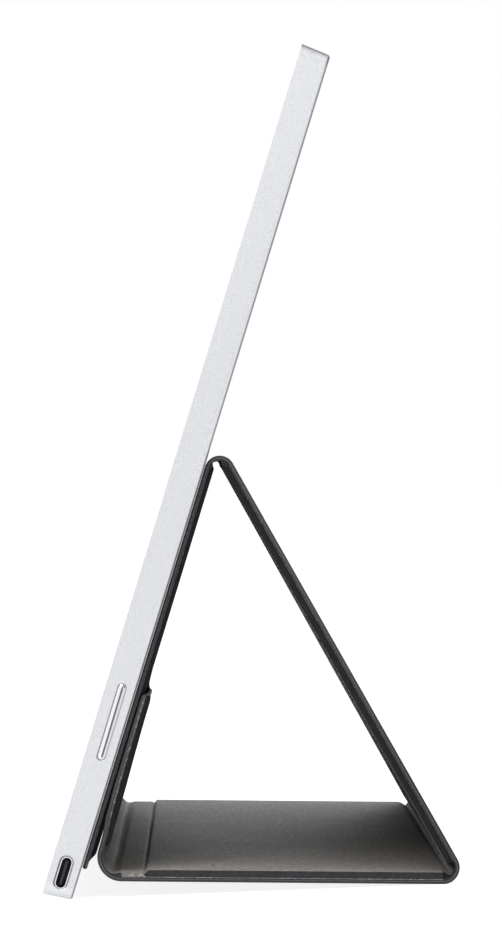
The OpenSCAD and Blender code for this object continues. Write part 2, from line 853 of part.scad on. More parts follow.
module board_screws() {
    color(steel) in_monitor()
        for (p = screw_spots)
            translate([p.x, p.y, 0]) {
                translate([0, 0, screw_floor + screw_tip_gap])
                    cylinder(h = board_top - screw_floor - screw_tip_gap, r = screw_r);
                translate([0, 0, board_top]) cylinder(h = screw_head_h, r = screw_head_r);
            }
}

module shell_magnets() {
    color("silver") in_monitor()
        for (x = magnet_xs, y = magnet_ys)
            slab(x - magnet_len / 2, x + magnet_len / 2, y - magnet_w / 2, y + magnet_w / 2,
                back_wall, back_wall + magnet_t);
}

// Rocker key and what it works on

module key_bracket() {
    low = key_z - lug_t / 2 - ear_gap;
    high = key_z + lug_t / 2 + ear_gap;
    ear_x0 = tray_w / 2 + tray_free;
    ear_y = lug_r + 2 * lug_free;
    color(black_plastic) in_monitor() {
        difference() {
            slab(bracket_x0, bracket_x1, key_up - bracket_half, key_up + bracket_half, back_wall, high);
            slab(pin_x - lug_r - lug_free, bracket_x1 + cut, key_up - bracket_half - cut,
                key_up + bracket_half + cut, low, high + cut);
        }
        for (s = [-1, 1])
            slab(ear_x0, bracket_x1, key_up + min(s * ear_y, s * bracket_half),
                key_up + max(s * ear_y, s * bracket_half), low, high);
        slab(ear_x0, bracket_x1, key_up - bracket_half, key_up + bracket_half, high, high + ear_t);
        translate([pin_x, key_up, low - ear_gap]) cylinder(h = high - low + 2 * ear_gap, r = pin_r);
    }
}

module key_switches() {
    color("dimgray") in_monitor()
        for (s = [-1, 1]) {
            y = key_up + s * switch_off;
            slab(switch_x - switch_len, switch_x, y - switch_w / 2, y + switch_w / 2,
                board_top, board_top + switch_h);
            slab(switch_x, plunger_x, y - plunger_w / 2, y + plunger_w / 2,
                key_z - plunger_h / 2, key_z + plunger_h / 2);
        }
}

module rocker_key() {
    color([0.80, 0.80, 0.82]) in_monitor() {
        crowned_bar_x(key_stop_x, key_face, key_up, key_z, key_len, key_w, key_crown);
        stadium_x(key_stop_x - key_stop_t, key_stop_x, key_up, key_z, key_stop_len, key_stop_w);
        for (s = [-1, 1])
            slab(pad_x, key_stop_x - key_stop_t / 2, key_up + s * switch_off - pad_w / 2,
                key_up + s * switch_off + pad_w / 2, key_z - pad_h / 2, key_z + pad_h / 2);
        difference() {
            union() {
                translate([pin_x, key_up, key_z - lug_t / 2]) cylinder(h = lug_t, r = lug_r);
                slab(pin_x, key_stop_x - key_stop_t / 2, key_up - lug_r, key_up + lug_r,
                    key_z - lug_t / 2, key_z + lug_t / 2);
            }
            translate([pin_x, key_up, key_z - lug_t]) cylinder(h = 2 * lug_t, r = pin_r + pin_gap);
        }
    }
}

// Cover panels

// Outline of a panel's sheet, with round corners at its start or its end
module panel2d(len, round_start, round_end) {
    r = cover_r;
    a = round_start ? r : 0;
    b = round_end ? r : 0;
    translate([-cover_w / 2, a]) square([cover_w, len - a - b]);
    if (round_start) {
        translate([-cover_w / 2 + r, 0]) square([cover_w - 2 * r, r + seam]);
        for (s = [-1, 1]) translate([s * (cover_w / 2 - r), r]) circle(r);
    }
    if (round_end) {
        translate([-cover_w / 2 + r, len - r - seam]) square([cover_w - 2 * r, r + seam]);
        for (s = [-1, 1]) translate([s * (cover_w / 2 - r), len - r]) circle(r);
    }
}

module liner(len, round_start = false, round_end = false) {
    color(liner_grey) linear_extrude(liner_t) panel2d(len, round_start, round_end);
}

module stiff_board(y0, y1, t) {
    plate(board_w, y0, y1, board_r, liner_t, liner_t + t);
}

// Raised form of the leather over a board: a foot on the bare leather, a slope and a rounded top
round_steps = 3;
module raised(y0, y1, t, slope0, slope1) {
    top = skin_t + t;
    r = board_r + leather_t;
    x_in = board_w / 2 - board_r;
    hull()
        for (sx = [-1, 1], end = [0, 1]) {
            slope = end == 0 ? slope0 : slope1;
            y = end == 0 ? y0 + board_r : y1 - board_r;
            foot_y = end == 0 ? y - slope : y + slope;
            translate([sx * (x_in + side_slope), foot_y, liner_t])
                cylinder(h = leather_t, r = r, $fn = hull_fn);
            for (k = [0:round_steps - 1]) {
                a = 90 * k / round_steps;
                b = 90 * (k + 1) / round_steps;
                translate([sx * x_in, y, top - leather_round * (1 - sin(a))])
                    cylinder(h = leather_round * (sin(b) - sin(a)), r1 = r - leather_round * (1 - cos(a)),
                        r2 = r - leather_round * (1 - cos(b)), $fn = hull_fn);
            }
        }
}

module leather(len, y0, y1, t, slope0, slope1, round_start = false, round_end = false) {
    color(leather_grey) difference() {
        union() {
            translate([0, 0, liner_t]) linear_extrude(leather_t) panel2d(len, round_start, round_end);
            raised(y0, y1, t, slope0, slope1);
        }
        plate(board_w, y0, y1, board_r, liner_t - cut, liner_t + t);
    }
}

// Bars let into a board, or the pockets that hold them
module bars(ys, z0, z1, gap) {
    for (x = magnet_xs, y = ys)
        slab(x - magnet_len / 2 - gap, x + magnet_len / 2 + gap, y - magnet_w / 2 - gap,
            y + magnet_w / 2 + gap, z0, z1);
}

mount_bar_ys = [for (y = magnet_ys) y - mount_up];

module mount_liner() {
    on_line(mount_start, up_heading) liner(mount_len, round_start = true);
}

module mount_board() {
    color("saddlebrown") on_line(mount_start, up_heading) difference() {
        stiff_board(mount_b0, mount_b1, thin_t);
        bars(mount_bar_ys, liner_t - cut, liner_t + thin_t + cut, magnet_gap);
    }
}

module mount_magnets() {
    color("silver") on_line(mount_start, up_heading) bars(mount_bar_ys, liner_t, liner_t + thin_t, 0);
}

module mount_leather() {
    on_line(mount_start, up_heading)
        leather(mount_len, mount_b0, mount_b1, thin_t, lip_slope, side_slope, round_start = true);
}

module strut_liner() {
    on_line(strut_start, strut_heading) liner(strut_len);
}

module strut_board() {
    color("saddlebrown") on_line(strut_start, strut_heading) stiff_board(strut_b0, strut_b1, stiff_t);
}

module strut_leather() {
    on_line(strut_start, strut_heading)
        leather(strut_len, strut_b0, strut_b1, stiff_t, side_slope, side_slope);
}

module floor_liner() {
    on_line(floor_start, floor_heading) liner(floor_len);
}

module floor_board() {
    color("saddlebrown") on_line(floor_start, floor_heading) stiff_board(floor_b0, floor_b1, stiff_t);
}

module floor_leather() {
    on_line(floor_start, floor_heading)
        leather(floor_len, floor_b0, floor_b1, stiff_t, side_slope, side_slope);
}

module flap_liner() {
    on_line(flap_start, flap_heading) liner(flap_len, round_end = true);
}

module flap_board() {
    color("saddlebrown") on_line(flap_start, flap_heading) difference() {
        stiff_board(flap_b0, flap_b1, thin_t);
        bars([plate_y], liner_t - cut, liner_t + thin_t + cut, magnet_gap);
    }
}

module flap_plates() {
    color(steel) on_line(flap_start, flap_heading) bars([plate_y], liner_t, liner_t + thin_t, 0);
}

module flap_leather() {
    on_line(flap_start, flap_heading)
        leather(flap_len, flap_b0, flap_b1, thin_t, side_slope, lip_slope, round_end = true);
}

// Fold of leather and liner, bent to the right from a heading
module fold_strip(centre, r, heading, turn) {
    sector = turn - fold_gap / r * 180 / PI;
    color(leather_grey) translate([0, centre.x - mid_y, centre.y]) along_x(-cover_w / 2, cover_w / 2)
        intersection() {
            difference() {
                circle(r);
                circle(r - skin_t);
            }
            polygon(concat([[0, 0]], [for (k = [0:4]) 2 * r * dir(heading + 90 - sector * k / 4)]));
        }
}

module top_fold_strip() {
    fold_strip(top_centre, top_fold_r, up_heading, top_turn);
}

module rear_fold_strip() {
    fold_strip(rear_centre, rear_fold_r, strut_heading, rear_turn);
}

module front_fold_strip() {
    fold_strip(front_centre, front_fold_r, floor_heading, front_turn);
}

back_shell();
front_bezel();
bezel_tape();
lcd_cell();
optical_sheets();
light_guide();
reflector_sheet();
panel_frame();
panel_tray();
led_strip();
driver_films();
timing_board();
main_board();
shield_can();
side_board();
usb_shell(1);  // usb_shell_right
usb_tongue(1);  // usb_tongue_right
usb_shell(-1);  // usb_shell_left
usb_tongue(-1);  // usb_tongue_left
display_cable();
link_cable();
board_insulator();
key_bracket();
key_switches();
rocker_key();
board_screws();
shell_magnets();
mount_liner();
mount_board();
mount_magnets();
mount_leather();
strut_liner();
strut_board();
strut_leather();
floor_liner();
floor_board();
floor_leather();
flap_liner();
flap_board();
flap_plates();
flap_leather();
top_fold_strip();
rear_fold_strip();
front_fold_strip();
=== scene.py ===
import json
import math

import bmesh
import bpy
from mathutils import Matrix, Vector, noise


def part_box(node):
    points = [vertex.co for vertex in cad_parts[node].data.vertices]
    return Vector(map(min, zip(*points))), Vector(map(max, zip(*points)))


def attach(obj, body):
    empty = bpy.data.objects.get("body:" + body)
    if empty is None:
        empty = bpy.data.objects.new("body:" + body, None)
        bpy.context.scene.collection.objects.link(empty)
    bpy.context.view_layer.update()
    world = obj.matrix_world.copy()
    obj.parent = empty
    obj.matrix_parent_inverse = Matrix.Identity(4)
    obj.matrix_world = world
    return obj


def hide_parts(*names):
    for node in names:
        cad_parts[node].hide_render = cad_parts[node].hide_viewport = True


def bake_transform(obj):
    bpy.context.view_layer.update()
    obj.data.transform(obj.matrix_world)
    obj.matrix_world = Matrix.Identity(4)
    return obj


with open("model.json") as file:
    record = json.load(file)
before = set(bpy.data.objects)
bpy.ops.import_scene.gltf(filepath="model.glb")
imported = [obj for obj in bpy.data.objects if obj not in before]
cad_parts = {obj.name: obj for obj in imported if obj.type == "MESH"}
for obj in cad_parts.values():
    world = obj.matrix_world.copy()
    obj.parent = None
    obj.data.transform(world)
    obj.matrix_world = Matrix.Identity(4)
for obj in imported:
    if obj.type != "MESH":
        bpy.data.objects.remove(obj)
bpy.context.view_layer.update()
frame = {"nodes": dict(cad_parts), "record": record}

# Portable monitor on a leather cover that is folded into a triangle.
# Lengths in the dictionaries are in millimetres unless a note says otherwise.
mm = 0.001


# Camera: a long lens on the side with the key, turned as the photograph is
camera = {
    "place": (1.7798, -0.0091, 0.1124),  # metres
    "yaw": 0.483,  # degrees from looking along -X
    "pitch": 0.037,
    "roll": -2.271,
    "focal": 5937.6,  # pixels of a frame 943 pixels high
    "frameHeight": 943,
    "sensor": 36.0,
}


def addCamera(c):
    yaw, pitch, roll = (math.radians(c[k]) for k in ("yaw", "pitch", "roll"))
    ahead = Vector((-math.cos(pitch) * math.cos(yaw), math.cos(pitch) * math.sin(yaw), math.sin(pitch)))
    right = Vector((math.sin(yaw), math.cos(yaw), 0))
    upward = right.cross(ahead)
    turnedRight = right * math.cos(roll) + upward * math.sin(roll)
    turnedUp = upward * math.cos(roll) - right * math.sin(roll)
    data = bpy.data.cameras.new("camera")
    data.sensor_width = c["sensor"]
    data.lens = c["focal"] * c["sensor"] / c["frameHeight"]
    data.clip_start, data.clip_end = 0.1, 100
    thing = bpy.data.objects.new("camera", data)
    bpy.context.scene.collection.objects.link(thing)
    axes = Matrix((turnedRight, turnedUp, -ahead)).transposed().to_4x4()
    thing.matrix_world = Matrix.Translation(Vector(c["place"])) @ axes
    bpy.context.scene.camera = thing


addCamera(camera)
bpy.context.scene.view_settings.view_transform = "Standard"
print("camera placed")


# Materials: one small function adds a node with its settings, values and links
def colour(hexCode, alpha=1.0):
    parts = [int(hexCode[k:k + 2], 16) / 255 for k in (1, 3, 5)]
    return (*[p / 12.92 if p <= 0.04045 else ((p + 0.055) / 1.055) ** 2.4 for p in parts], alpha)


def addNode(tree, kind, settings=None, values=None, links=None):
    node = tree.nodes.new("ShaderNode" + kind)
    for name, value in (settings or {}).items():
        setattr(node, name, value)
    for socket, value in (values or {}).items():
        node.inputs[socket].default_value = value
    for socket, source in (links or {}).items():
        tree.links.new(source, node.inputs[socket])
    return node


def newMaterial(name, values):
    material = bpy.data.materials.new(name)
    material.use_nodes = True
    tree = material.node_tree
    shader = tree.nodes["Principled BSDF"]
    for socket, value in values.items():
        shader.inputs[socket].default_value = value
    place = addNode(tree, "TexCoord").outputs["Object"]
    return material, tree, shader, place


def perMetre(size):
    return 1 / (size * mm)


def mixColour(tree, factor, low, high):
    ramp = addNode(tree, "ValToRGB", links={"Fac": factor})
    for end, place, tone in ((0, 0.3, low), (1, 0.7, high)):
        ramp.color_ramp.elements[end].position = place
        ramp.color_ramp.elements[end].color = tone
    return ramp


def linkBump(tree, shader, height, strength, depth):
    bump = addNode(tree, "Bump", values={"Strength": strength, "Distance": depth * mm}, links={"Height": height})
    tree.links.new(bump.outputs["Normal"], shader.inputs["Normal"])


# Bead-blasted, clear anodised aluminium: an even satin white-grey with a fine sparkle of grain.
# The rounded edges round the side, where the face turns to the back and to the ends, are painted a darker grey as
# shade and read as a thin grey line.
# The real grain is under 0.1 mm and is drawn coarser, so that it shows.
shellLook = {
    "grain": 0.45,
    "tilt": 19.3,  # degrees that the screen leans back
    # tone of the painted shade on the rounded edges
    "tone": "#8C8D90",
    "back": (0.5, 0.58, 0.93, 0.97),  # how far the face has turned to the back where the painted shade line starts and ends
    "end": (0.8, 0.88, 0.985, 0.995),
}


# Mask for painted shade: a band set by how far a face has turned towards a given way
def shadeByTurn(tree, normal, way, spots):
    turn = addNode(tree, "VectorMath", settings={"operation": "DOT_PRODUCT"}, values={1: way}, links={0: normal})
    band = addNode(tree, "ValToRGB", links={"Fac": turn.outputs["Value"]})
    white, black = (1, 1, 1, 1), (0, 0, 0, 1)
    band.color_ramp.elements[0].color, band.color_ramp.elements[1].color = black, black
    for spot, level in zip(spots, (black, white, white, black)):
        band.color_ramp.elements.new(spot).color = level
    return band.outputs["Color"]


def beadBlastedAluminium():
    material, tree, shader, place = newMaterial("beadBlastedAluminium", {"Metallic": 1.0, "Roughness": 0.42})
    grain = addNode(tree, "TexNoise", values={"Scale": perMetre(shellLook["grain"]), "Detail": 3.0},
                    links={"Vector": place})
    tone = mixColour(tree, grain.outputs["Fac"], colour("#CBCCD0"), colour("#D8D9DC"))
    normal = addNode(tree, "NewGeometry").outputs["Normal"]
    lean = math.radians(shellLook["tilt"])
    shadeToBack = shadeByTurn(tree, normal, (0, math.cos(lean), -math.sin(lean)), shellLook["back"])
    shadeToEnd = shadeByTurn(tree, normal, (0, math.sin(lean), math.cos(lean)), shellLook["end"])
    # painted shade: edges turned to the back and to the ends get the darker tone
    line = addNode(tree, "Math", settings={"operation": "MAXIMUM"}, links={0: shadeToBack, 1: shadeToEnd})
    shadedEdges = addNode(tree, "Mix", settings={"data_type": "RGBA"}, values={7: colour(shellLook["tone"])},
                    links={0: line.outputs["Value"], 6: tone.outputs["Color"]})
    tree.links.new(shadedEdges.outputs[2], shader.inputs["Base Color"])
    rough = addNode(tree, "MapRange", values={"To Min": 0.38, "To Max": 0.48}, links={"Value": grain.outputs["Fac"]})
    tree.links.new(rough.outputs["Result"], shader.inputs["Roughness"])
    linkBump(tree, shader, grain.outputs["Fac"], 0.18, 0.02)
    return material


# The key is milled from the same metal and polished, so it carries clear highlights and a trace of polishing marks
def polishedAluminium():
    material, tree, shader, place = newMaterial("polishedAluminium", {"Metallic": 1.0, "Roughness": 0.2})
    lines = addNode(tree, "TexNoise", values={"Scale": perMetre(0.12), "Detail": 2.0}, links={"Vector": place})
    tone = mixColour(tree, lines.outputs["Fac"], colour("#BDBEC2"), colour("#C6C7CA"))
    tree.links.new(tone.outputs["Color"], shader.inputs["Base Color"])
    rough = addNode(tree, "MapRange", values={"To Min": 0.17, "To Max": 0.23}, links={"Value": lines.outputs["Fac"]})
    tree.links.new(rough.outputs["Result"], shader.inputs["Roughness"])
    return material


# Facets along the key, two copies of its metal: one painted lighter as a highlight on top of the lamp's own, one
# painted dark as shade
def paintedLightFacet(name, low, high, rough):
    material, tree, shader, place = newMaterial(name, {"Metallic": 1.0, "Roughness": rough})
    marks = addNode(tree, "TexNoise", values={"Scale": perMetre(0.2), "Detail": 2.0}, links={"Vector": place})
    tone = mixColour(tree, marks.outputs["Fac"], colour(low), colour(high))
    tree.links.new(tone.outputs["Color"], shader.inputs["Base Color"])
    return material


# Moulded matt ABS: black, with the fine spark-eroded grain of its mould, drawn coarser than the real 0.1 mm
def mouldedAbs():
    values = {"Roughness": 0.55, "IOR": 1.54}
    material, tree, shader, place = newMaterial("mouldedAbs", values)
    grain = addNode(tree, "TexNoise", values={"Scale": perMetre(0.35), "Detail": 4.0}, links={"Vector": place})
    tone = mixColour(tree, grain.outputs["Fac"], colour("#101012"), colour("#19191B"))
    tree.links.new(tone.outputs["Color"], shader.inputs["Base Color"])
    linkBump(tree, shader, grain.outputs["Fac"], 0.3, 0.02)
    return material


# Anti-glare polariser on glass: near black when off, a soft blurred reflection, picture a touch bluer
def antiGlareGlass():
    values = {"Roughness": 0.3, "IOR": 1.5}
    material, tree, shader, place = newMaterial("antiGlareGlass", values)
    haze = addNode(tree, "TexNoise", values={"Scale": perMetre(0.5), "Detail": 2.0}, links={"Vector": place})
    tone = mixColour(tree, haze.outputs["Fac"], colour("#0B0C0F"), colour("#101217"))
    tree.links.new(tone.outputs["Color"], shader.inputs["Base Color"])
    rough = addNode(tree, "MapRange", values={"To Min": 0.27, "To Max": 0.34}, links={"Value": haze.outputs["Fac"]})
    tree.links.new(rough.outputs["Result"], shader.inputs["Roughness"])
    return material


# Plain stocks of the closed inside: each has its own tone, gloss and a slight cloudiness of the given size
innerStocks = {
    "black_tape": {"name": "polyesterTape", "low": "#0E0E0F", "high": "#161617",
        "rough": 0.45, "metal": 0.0, "size": 2.0},
    "white_film": {"name": "whitePolyesterFilm", "low": "#E6E7E8", "high": "#F0F0F0",
        "rough": 0.4, "metal": 0.0, "size": 6.0},
    "clear_guide": {"name": "acrylicGuide", "low": "#DDE4E6", "high": "#E8EEEF",
        "rough": 0.1, "metal": 0.0, "size": 9.0},
    "tray_metal": {"name": "pressedAluminium", "low": "#A9AAAC", "high": "#B9BABC",
        "rough": 0.38, "metal": 1.0, "size": 4.0},
    "led_strip": {"name": "flexibleCircuit", "low": "#C9B45C", "high": "#E4D48C",
        "rough": 0.5, "metal": 0.0, "size": 3.0},
    "driver_film": {"name": "copperOnPolyimide", "low": "#8A5A1E", "high": "#A8742C",
        "rough": 0.35, "metal": 0.0, "size": 1.5},
    "circuit_board": {"name": "solderMaskedLaminate", "low": "#0C3B28", "high": "#145238",
        "rough": 0.4, "metal": 0.0, "size": 1.2},
    "ribbon": {"name": "flatFlexibleCable", "low": "#D6D7D9", "high": "#E6E6E7",
        "rough": 0.45, "metal": 0.0, "size": 1.0},
    "magnet": {"name": "nickelPlatedMagnet", "low": "#A5A5A8", "high": "#B6B6B8",
        "rough": 0.25, "metal": 1.0, "size": 2.0},
    "cover_board": {"name": "pressedGreyBoard", "low": "#7D766B", "high": "#918A7E",
        "rough": 0.9, "metal": 0.0, "size": 1.5},
}


def innerStock(stock):
    values = {"Metallic": stock["metal"], "Roughness": stock["rough"]}
    material, tree, shader, place = newMaterial(stock["name"], values)
    cloud = addNode(tree, "TexNoise", values={"Scale": perMetre(stock["size"]), "Detail": 4.0},
                    links={"Vector": place})
    tone = mixColour(tree, cloud.outputs["Fac"], colour(stock["low"]), colour(stock["high"]))
    tree.links.new(tone.outputs["Color"], shader.inputs["Base Color"])
    return material


# Drawn stainless steel, nickel plated: bright at the port's rim, faint lines along the draw
def drawnSteel():
    material, tree, shader, place = newMaterial("drawnSteel", {"Metallic": 1.0, "Roughness": 0.28})
    stretch = addNode(tree, "Mapping", values={"Scale": (0.1, 1.0, 1.0)}, links={"Vector": place})
    lines = addNode(tree, "TexNoise", values={"Scale": perMetre(0.25), "Detail": 3.0},
                    links={"Vector": stretch.outputs["Vector"]})
    tone = mixColour(tree, lines.outputs["Fac"], colour("#C9CACC"), colour("#DCDDDF"))
    tree.links.new(tone.outputs["Color"], shader.inputs["Base Color"])
    return material


# Embossed synthetic leather: rounded pebbles, the creases between them painted darker as shade and the crests
# lighter, with a low sheen
leatherLook = {
    "pebble": 1.0,  # mm from pebble to pebble
    "cloud": 26.0,
    "light": "#928F8C",
    "dark": "#5F5C59",
    "sheen": "#FFF7F0",
}


def embossedLeather(look):
    values = {"Roughness": 0.6, "IOR": 1.47, "Specular IOR Level": 0.2, "Sheen Weight": 0.12, "Sheen Roughness": 0.5,
              "Sheen Tint": colour(look["sheen"])}
    material, tree, shader, place = newMaterial("embossedLeather", values)
    pebbles = addNode(tree, "TexVoronoi", settings={"feature": "SMOOTH_F1"},
                      values={"Scale": perMetre(look["pebble"]), "Smoothness": 0.35}, links={"Vector": place})
    crests = addNode(tree, "MapRange", values={"From Max": 0.75, "To Min": 1.0, "To Max": 0.0},
                     links={"Value": pebbles.outputs["Distance"]})
    cloud = addNode(tree, "TexNoise", values={"Scale": perMetre(look["cloud"]), "Detail": 3.0},
                    links={"Vector": place})
    grainAndCreaseShade = addNode(tree, "Mix", settings={"data_type": "FLOAT"}, values={0: 0.3},
                    links={2: crests.outputs["Result"], 3: cloud.outputs["Fac"]})
    # painted shade: the creases between the pebbles get the dark tone and the crests the light one, with a slow cloud
    # of tone mixed in
    tone = mixColour(tree, grainAndCreaseShade.outputs[0], colour(look["dark"]), colour(look["light"]))
    tree.links.new(tone.outputs["Color"], shader.inputs["Base Color"])
    rough = addNode(tree, "MapRange", values={"To Min": 0.66, "To Max": 0.56},
                    links={"Value": crests.outputs["Result"]})
    tree.links.new(rough.outputs["Result"], shader.inputs["Roughness"])
    linkBump(tree, shader, crests.outputs["Result"], 0.7, 0.06)
    return material


# Smooth coated cloth on the outer side: a finer, flatter emboss and a dull face
linerLook = {"thread": 0.55, "cloud": 40.0, "light": "#3B3A3C", "dark": "#2C2B2D"}


def coatedCloth(look):
    values = {"Roughness": 0.6, "IOR": 1.45, "Specular IOR Level": 0.3}
    material, tree, shader, place = newMaterial("coatedCloth", values)
    threads = addNode(tree, "TexVoronoi", values={"Scale": perMetre(look["thread"])}, links={"Vector": place})
    cloud = addNode(tree, "TexNoise", values={"Scale": perMetre(look["cloud"]), "Detail": 4.0},
                    links={"Vector": place})
    tone = mixColour(tree, cloud.outputs["Fac"], colour(look["dark"]), colour(look["light"]))
    tree.links.new(tone.outputs["Color"], shader.inputs["Base Color"])
    linkBump(tree, shader, threads.outputs["Distance"], 0.3, 0.05)
    return material


# Cut side of the leather, sealed with dark edge paint that hides the fibres
def paintedEdge():
    values = {"Roughness": 0.5, "IOR": 1.47, "Specular IOR Level": 0.3}
    material, tree, shader, place = newMaterial("paintedEdge", values)
    fibres = addNode(tree, "TexNoise", values={"Scale": perMetre(0.7), "Detail": 4.0}, links={"Vector": place})
    tone = mixColour(tree, fibres.outputs["Fac"], colour("#222224"), colour("#303032"))
    tree.links.new(tone.outputs["Color"], shader.inputs["Base Color"])
    linkBump(tree, shader, fibres.outputs["Fac"], 0.3, 0.04)
    return material


# Leather drawn tight over the edge of a board: the grain is pulled flat and the face smoother, and its darker tone is
# painted shade of the sides turned away from the light above
def stretchedShadedLeather():
    values = {"Roughness": 0.6, "IOR": 1.47, "Specular IOR Level": 0.12}
    material, tree, shader, place = newMaterial("stretchedShadedLeather", values)
    grain = addNode(tree, "TexNoise", values={"Scale": perMetre(1.6), "Detail": 3.0}, links={"Vector": place})
    tone = mixColour(tree, grain.outputs["Fac"], colour("#202023"), colour("#2A2A2E"))
    tree.links.new(tone.outputs["Color"], shader.inputs["Base Color"])
    linkBump(tree, shader, grain.outputs["Fac"], 0.2, 0.03)
    return material


# Bare backing between the two skins, seen as a thin lighter line along the cut side
def bareBacking():
    material, tree, shader, place = newMaterial("bareBacking", {"Roughness": 0.85})
    fibres = addNode(tree, "TexNoise", values={"Scale": perMetre(0.9), "Detail": 4.0}, links={"Vector": place})
    tone = mixColour(tree, fibres.outputs["Fac"], colour("#4A494C"), colour("#605F62"))
    tree.links.new(tone.outputs["Color"], shader.inputs["Base Color"])
    return material


finishes = {
    "silver": beadBlastedAluminium(),
    "key_silver": polishedAluminium(),
    "black_plastic": mouldedAbs(),
    "screen_glass": antiGlareGlass(),
    "port_steel": drawnSteel(),
    "leather": embossedLeather(leatherLook),
    "liner": coatedCloth(linerLook),
    **{slot: innerStock(stock) for slot, stock in innerStocks.items()},
}
edgeFinishes = {"cut": paintedEdge(), "backing": bareBacking(), "stretchedShaded": stretchedShadedLeather()}
paintedLightFacetFinishes = [paintedLightFacet("paintedHighlightFacet", "#F4F4F6", "#FAFAFB", 0.3), paintedLightFacet("paintedShadeFacet", "#606065", "#707075", 0.2)]

for entry in frame["record"]["subparts"]:
    node = frame["nodes"][entry["node"]]
    node.data.materials.clear()
    node.data.materials.append(finishes[entry["material_slot"]])
print("finishes made")


# Cover: the frame gives each panel's line, lengths and thicknesses
def linePoint(p, s, n):
    return p["start"] + p["along"] * s + p["inward"] * n


def sideVertices(name):
    return [Vector((v.co.y, v.co.z)) for v in frame["nodes"][name].data.vertices]


def span(points, axis):
    reach = [q.dot(axis) for q in points]
    return min(reach), max(reach)


def barThickness(points, axis):
    low, high = span(points, Vector((axis.y, -axis.x)))
    return high - low


# Seen along X a panel is a thin bar, which runs the way in which its liner looks thinnest
def panelLine(name):
    liner, leather, board = (sideVertices(name + part) for part in ("_liner", "_leather", "_board"))
    chords = [b - a for a in liner for b in liner]
    longest = max(chord.length for chord in chords)
    ways = [chord.normalized() for chord in chords if chord.length > longest / 2]
    along = min(ways, key=lambda way: barThickness(liner, way))
    inward = Vector((along.y, -along.x))
    deep = sum(leather, Vector((0, 0))) / len(leather) - sum(liner, Vector((0, 0))) / len(liner)
    if inward.dot(deep) < 0:
        along, inward = -along, -inward
    s0, s1 = span(liner, along)
    n0, n1 = span(liner, inward)
    b0, b1 = span(board, along)
    boardThickness = barThickness(board, along)
    return {
        "start": along * s0 + inward * n0, "along": along, "inward": inward, "length": s1 - s0,
        "liner": n1 - n0, "skin": span(leather, inward)[1] - n0 - boardThickness,
        "boardStart": b0 - s0, "boardEnd": b1 - s0, "board": boardThickness,
    }


panelNames = ["mount", "strut", "floor", "flap"]
lines = {name: panelLine(name) for name in panelNames}
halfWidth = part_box("mount_liner")[1].x
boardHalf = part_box("strut_board")[1].x


def foldArc(first, second):
    end = linePoint(first, first["length"], 0)
    begin = second["start"]
    spread = second["inward"] - first["inward"]
    radius = (end - begin).dot(spread) / spread.length_squared
    turn = first["along"].angle_signed(second["along"])
    return {
        "centre": end + first["inward"] * radius, "radius": radius, "turn": abs(turn),
        "outward": -first["inward"], "liner": first["liner"], "skin": first["skin"],
        "begin": end, "end": begin,
    }


def arcPoint(f, angle, n):
    outward = f["outward"]
    c, s = math.cos(angle), math.sin(angle)
    turned = Vector((outward.x * c + outward.y * s, outward.y * c - outward.x * s))
    return f["centre"] + turned * (f["radius"] - n)


# Rows and columns of a sheet: wide steps in the middle and narrow ones where it bends
def steps(start, end, wide, narrow, spots, reach):
    count = max(2, round((end - start) / wide))
    places = [start + (end - start) * k / count for k in range(count + 1)]
    near = []
    for spot in spots:
        k = math.floor(-reach / narrow)
        near += [spot + narrow * i for i in range(k, -k + 1) if start < spot + narrow * i < end]
    places = [p for p in places if p in (start, end) or all(abs(p - spot) > reach for spot in spots)]
    merged = sorted(places + near)
    kept = [merged[0]]
    for place in merged[1:]:
        if place - kept[-1] > narrow * 0.5:
            kept.append(place)
    kept[-1] = end
    return kept


def smooth(u):
    u = min(1, max(0, u))
    return u * u * (3 - 2 * u)


# Round edge of a sheet: how far its face has dropped at a distance from its free edge
def edgeDrop(distance, radius):
    if distance >= radius:
        return 0
    return radius - math.sqrt(max(0, radius ** 2 - (radius - distance) ** 2))


# Closed sheet between two faces; its side walls are split by levels, each with its own material,
# and topSlot gives the material of each small face of the top
sheetMesh = {"weld": 0.002, "sharp": 40}  # mm between points that are one, degrees from which an edge stays sharp


def closedSheet(name, rows, columns, place, levels, materials, wallSlots, topSlot):
    mesh = bmesh.new()
    stacks = [[[mesh.verts.new(place(s, x, level(s, x))) for x in columns] for s in rows] for level in levels]
    last = len(levels) - 1
    for i in range(len(rows) - 1):
        for j in range(len(columns) - 1):
            middle = (rows[i] + rows[i + 1]) / 2, (columns[j] + columns[j + 1]) / 2
            for k, slot in ((0, wallSlots[0]), (last, topSlot(*middle))):
                g = stacks[k]
                face = mesh.faces.new((g[i][j], g[i + 1][j], g[i + 1][j + 1], g[i][j + 1]))
                face.material_index = slot
    edge = ([(i, 0) for i in range(len(rows))] + [(len(rows) - 1, j) for j in range(1, len(columns))]
            + [(i, len(columns) - 1) for i in range(len(rows) - 2, -1, -1)]
            + [(0, j) for j in range(len(columns) - 2, 0, -1)])
    for k in range(last):
        for a, b in zip(edge, edge[1:] + edge[:1]):
            low, high = stacks[k], stacks[k + 1]
            face = mesh.faces.new((low[a[0]][a[1]], low[b[0]][b[1]], high[b[0]][b[1]], high[a[0]][a[1]]))
            face.material_index = wallSlots[k]
    inner = [v for k in range(1, last) for row in stacks[k] for v in row if not v.link_faces]
    for v in inner:
        mesh.verts.remove(v)
    bmesh.ops.remove_doubles(mesh, verts=mesh.verts, dist=sheetMesh["weld"] * mm)
    bmesh.ops.recalc_face_normals(mesh, faces=mesh.faces)
    data = bpy.data.meshes.new(name)
    mesh.to_mesh(data)
    mesh.free()
    for polygon in data.polygons:
        polygon.use_smooth = True
    data.set_sharp_from_angle(angle=math.radians(sheetMesh["sharp"]))
    for material in materials:
        data.materials.append(material)
    piece = bpy.data.objects.new(name, data)
    bpy.context.scene.collection.objects.link(piece)
    return piece


